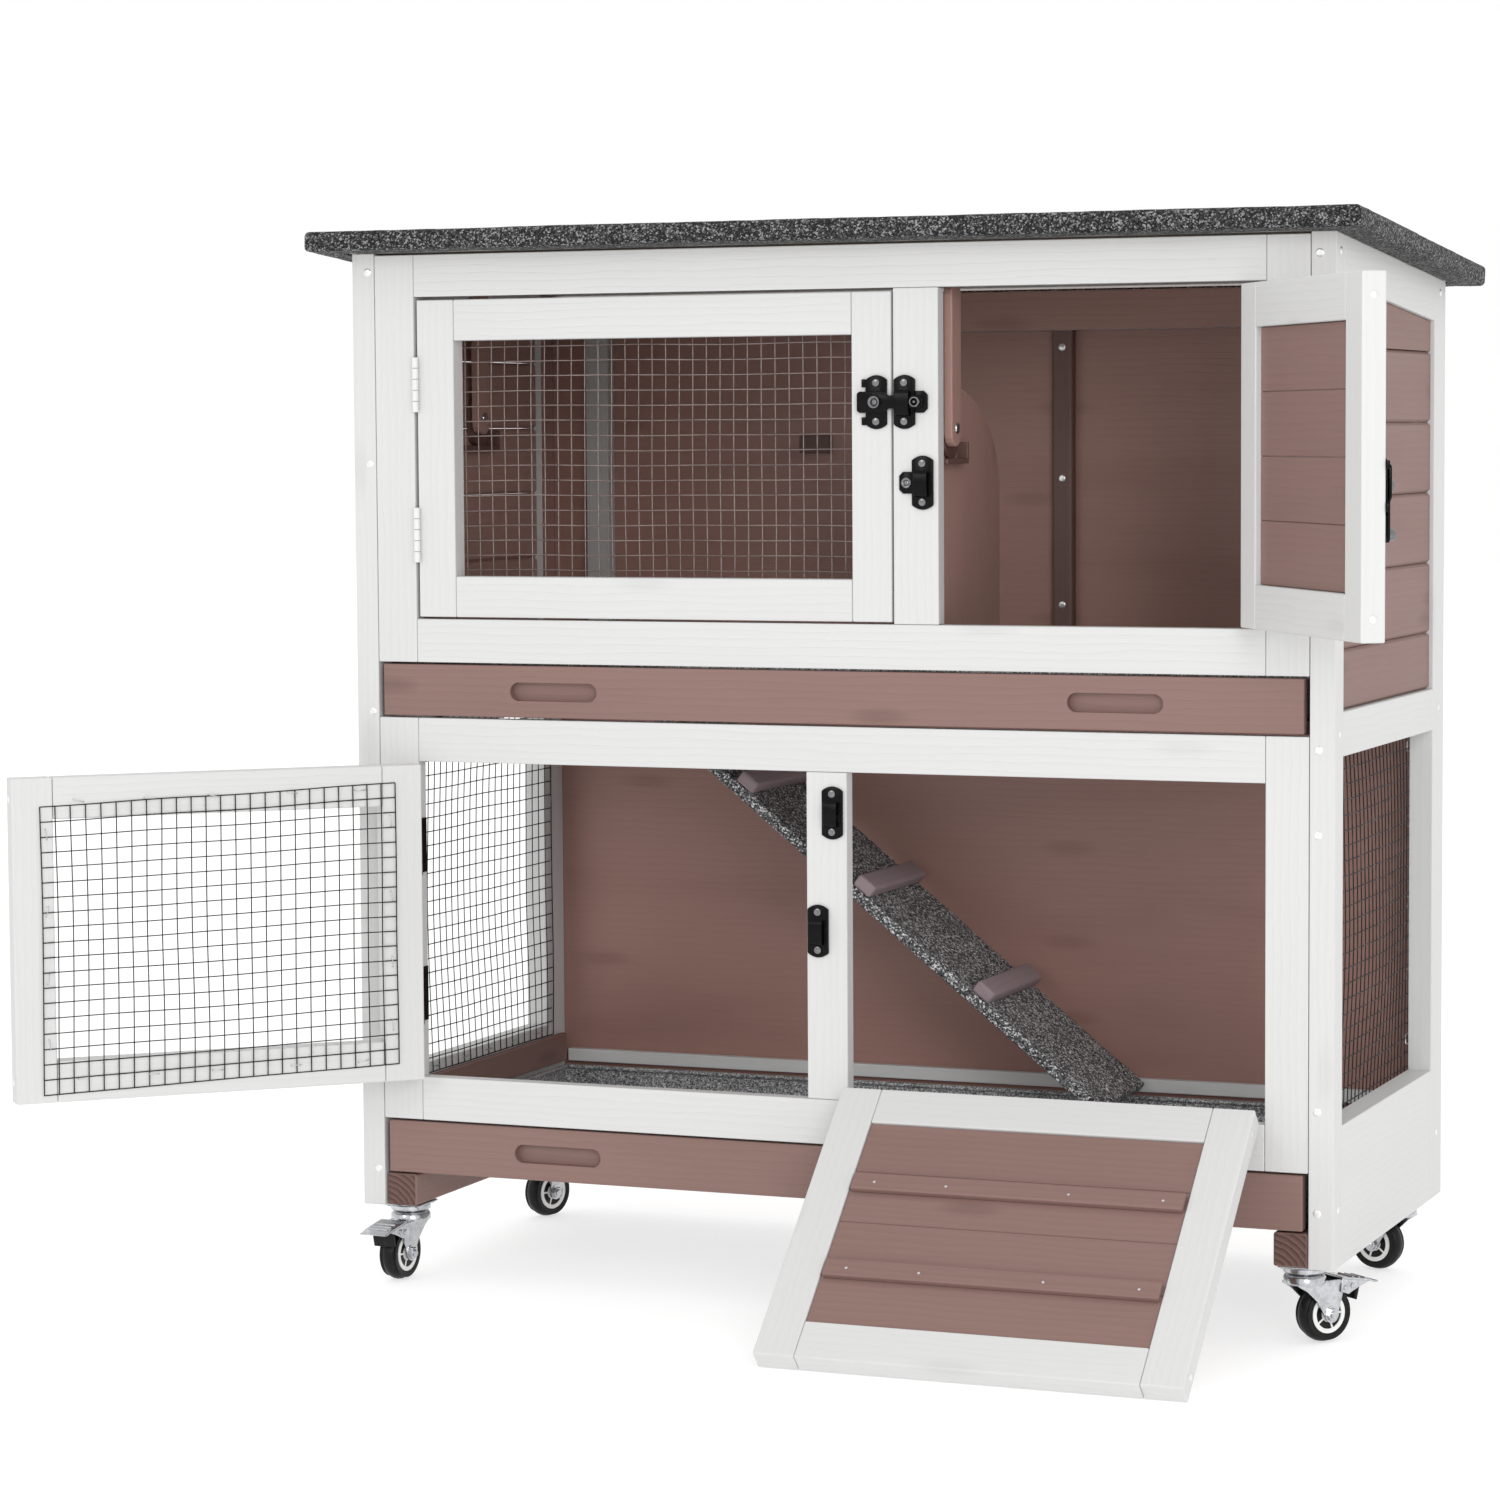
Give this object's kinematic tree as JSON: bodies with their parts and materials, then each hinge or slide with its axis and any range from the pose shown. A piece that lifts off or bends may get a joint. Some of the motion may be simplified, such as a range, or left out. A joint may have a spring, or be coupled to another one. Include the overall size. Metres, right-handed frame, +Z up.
{
  "type": "rabbit hutch",
  "caption": "Two-storey wooden rabbit hutch with mesh and boarded doors, a fold-down ramp, an inner ladder, pull-out trays, a felted lift-up roof and swivel casters.",
  "frame": {"origin": "bottom centre of the bounding box, on the floor under the wheels, with the doors and ramp open as modelled", "axes": "+X to the hutch's right when it is seen from the front, +Y to the back, +Z up"},
  "size_m": [1.2452, 0.7146, 0.9661],
  "materials": {
    "white_paint": "satin off-white paint on fir, faint grain",
    "brown_paint": "matt brown stain on fir boards",
    "dark_brown_paint": "matt dark brown stain",
    "bare_board": "bare plywood",
    "roofing_felt": "mineral roofing felt with pale granules",
    "wire_mesh": "dark coated welded wire",
    "tray_pan": "speckled grey sheet",
    "black_hardware": "gloss black",
    "zinc": "bright zinc plate",
    "tyre": "smooth black rubber",
    "hub": "white moulded hub",
    "screw": "cross-head screw"
  },
  "bodies": {
    "frame": {"left_side_frame": "white_paint", "right_side_frame": "white_paint", "left_side_boards": "brown_paint", "right_side_boards": "brown_paint", "left_side_mesh": "wire_mesh", "right_side_mesh": "wire_mesh", "upper_front_frame": "white_paint", "lower_front_frame": "white_paint", "upper_back_panel": "dark_brown_paint", "lower_back_panel": "dark_brown_paint", "back_frame": "white_paint", "back_batten": "dark_brown_paint", "divider_panel": "brown_paint", "upper_left_runner": "brown_paint", "upper_right_runner": "brown_paint", "lower_left_runner": "brown_paint", "lower_right_runner": "brown_paint", "ladder": "roofing_felt", "front_left_caster_plate": "zinc", "front_right_caster_plate": "zinc", "rear_left_caster_plate": "zinc", "rear_right_caster_plate": "zinc", "upper_left_latch_keeper": "black_hardware", "upper_right_latch_keeper": "black_hardware", "lower_left_latch_keeper": "black_hardware", "ramp_latch_keeper": "black_hardware"},
    "roof": {"roof_deck": "bare_board", "roof_felt": "roofing_felt"},
    "left_stay": {"left_roof_stay": "brown_paint"},
    "right_stay": {"right_roof_stay": "brown_paint"},
    "upper_left_door": {"upper_left_door_frame": "white_paint", "upper_left_door_mesh": "wire_mesh", "upper_left_latch_plate": "black_hardware"},
    "upper_right_door": {"upper_right_door_frame": "white_paint", "upper_right_door_boards": "brown_paint", "upper_right_latch_plate": "black_hardware"},
    "lower_left_door": {"lower_left_door_frame": "white_paint", "lower_left_door_mesh": "wire_mesh", "lower_left_latch_plate": "black_hardware"},
    "ramp_door": {"ramp_door_frame": "white_paint", "ramp_door_boards": "brown_paint", "ramp_latch_plate": "black_hardware"},
    "upper_left_latch": {"upper_left_latch_arm": "black_hardware"},
    "upper_right_latch": {"upper_right_latch_arm": "black_hardware"},
    "lower_left_latch": {"lower_left_latch_arm": "black_hardware"},
    "ramp_latch": {"ramp_latch_arm": "black_hardware"},
    "upper_tray": {"upper_tray_front": "brown_paint", "upper_tray_pan": "tray_pan"},
    "lower_tray": {"lower_tray_front": "brown_paint", "lower_tray_pan": "tray_pan"},
    "front_left_caster": {"front_left_caster_fork": "zinc"},
    "front_left_wheel": {"front_left_caster_wheel": "tyre"},
    "front_right_caster": {"front_right_caster_fork": "zinc"},
    "front_right_wheel": {"front_right_caster_wheel": "tyre"},
    "rear_left_caster": {"rear_left_caster_fork": "zinc"},
    "rear_left_wheel": {"rear_left_caster_wheel": "tyre"},
    "rear_right_caster": {"rear_right_caster_fork": "zinc"},
    "rear_right_wheel": {"rear_right_caster_wheel": "tyre"},
    "front_left_pedal": {"front_left_brake_pedal": "zinc"},
    "front_right_pedal": {"front_right_brake_pedal": "zinc"}
  },
  "joints": [
    {"name": "roof_lift", "type": "hinge", "parent": "frame", "child": "roof", "pos_m": [0.05356, 0.32319, 0.91388], "axis": [-1, 0, 0], "range_deg": [0, 75]},
    {"name": "left_stay_swing", "type": "hinge", "parent": "frame", "child": "left_stay", "pos_m": [-0.37644, 0.12919, 0.79688], "axis": [-1, 0, 0], "range_deg": [0, 80]},
    {"name": "right_stay_swing", "type": "hinge", "parent": "frame", "child": "right_stay", "pos_m": [0.16156, -0.04281, 0.78388], "axis": [-1, 0, 0], "range_deg": [0, 80]},
    {"name": "upper_left_door_swing", "type": "hinge", "parent": "frame", "child": "upper_left_door", "pos_m": [-0.34194, -0.08181, 0.75988], "axis": [0, 0, -1], "range_deg": [0, 165]},
    {"name": "upper_right_door_swing", "type": "hinge", "parent": "frame", "child": "upper_right_door", "pos_m": [0.45356, -0.08181, 0.75988], "axis": [0, 0, 1], "range_deg": [-124.5, 45.5]},
    {"name": "lower_left_door_swing", "type": "hinge", "parent": "frame", "child": "lower_left_door", "pos_m": [-0.34444, -0.08181, 0.33788], "axis": [0, 0, -1], "range_deg": [-136.8, 33.2]},
    {"name": "ramp_close", "type": "hinge", "parent": "frame", "child": "ramp_door", "pos_m": [0.26356, -0.08181, 0.19188], "axis": [-1, 0, 0], "range_deg": [0, 132.09]},
    {"name": "upper_left_latch_turn", "type": "hinge", "parent": "upper_left_door", "child": "upper_left_latch", "pos_m": [0.10456, -0.07881, 0.80688], "axis": [0, -1, 0], "range_deg": [0, 180]},
    {"name": "upper_right_latch_turn", "type": "hinge", "parent": "upper_right_door", "child": "upper_right_latch", "pos_m": [0.60883, -0.31303, 0.73688], "axis": [-0.8241, -0.5664, 0], "range_deg": [-90, 90]},
    {"name": "lower_left_latch_turn", "type": "hinge", "parent": "lower_left_door", "child": "lower_left_latch", "pos_m": [-0.60992, -0.33523, 0.34188], "axis": [0.6845, -0.729, 0], "range_deg": [-90, 90]},
    {"name": "ramp_latch_turn", "type": "hinge", "parent": "ramp_door", "child": "ramp_latch", "pos_m": [0.08806, -0.27305, 0.02317], "axis": [0, -0.6703, 0.7421], "range_deg": [-90, 90]},
    {"name": "upper_tray_pull", "type": "slide", "parent": "frame", "child": "upper_tray", "axis": [0, -1, 0], "range_m": [0, 0.34]},
    {"name": "lower_tray_pull", "type": "slide", "parent": "frame", "child": "lower_tray", "axis": [0, -1, 0], "range_m": [0, 0.045]},
    {"name": "front_left_swivel", "type": "hinge", "parent": "frame", "child": "front_left_caster", "pos_m": [-0.37344, -0.04881, 0.06188], "axis": [0, 0, 1], "continuous": true},
    {"name": "front_left_roll", "type": "hinge", "parent": "front_left_caster", "child": "front_left_wheel", "pos_m": [-0.37483, -0.06876, 0.02488], "axis": [0.9976, -0.0698, 0], "continuous": true},
    {"name": "front_left_brake", "type": "hinge", "parent": "front_left_caster", "child": "front_left_pedal", "pos_m": [-0.37588, -0.08373, 0.04688], "axis": [0.9976, -0.0698, 0], "range_deg": [0, 7]},
    {"name": "front_right_swivel", "type": "hinge", "parent": "frame", "child": "front_right_caster", "pos_m": [0.48056, -0.04881, 0.06188], "axis": [0, 0, 1], "continuous": true},
    {"name": "front_right_roll", "type": "hinge", "parent": "front_right_caster", "child": "front_right_wheel", "pos_m": [0.49287, -0.03305, 0.02488], "axis": [-0.788, 0.6157, 0], "continuous": true},
    {"name": "front_right_brake", "type": "hinge", "parent": "front_right_caster", "child": "front_right_pedal", "pos_m": [0.50211, -0.02123, 0.04688], "axis": [-0.788, 0.6157, 0], "range_deg": [0, 7]},
    {"name": "rear_left_swivel", "type": "hinge", "parent": "frame", "child": "rear_left_caster", "pos_m": [-0.37344, 0.28519, 0.06188], "axis": [0, 0, 1], "continuous": true},
    {"name": "rear_left_roll", "type": "hinge", "parent": "rear_left_caster", "child": "rear_left_wheel", "pos_m": [-0.38028, 0.26639, 0.02488], "axis": [0.9397, -0.342, 0], "continuous": true},
    {"name": "rear_right_swivel", "type": "hinge", "parent": "frame", "child": "rear_right_caster", "pos_m": [0.48056, 0.28519, 0.06188], "axis": [0, 0, 1], "continuous": true},
    {"name": "rear_right_roll", "type": "hinge", "parent": "rear_right_caster", "child": "rear_right_wheel", "pos_m": [0.46154, 0.29137, 0.02488], "axis": [-0.309, -0.9511, 0], "continuous": true}
  ]
}
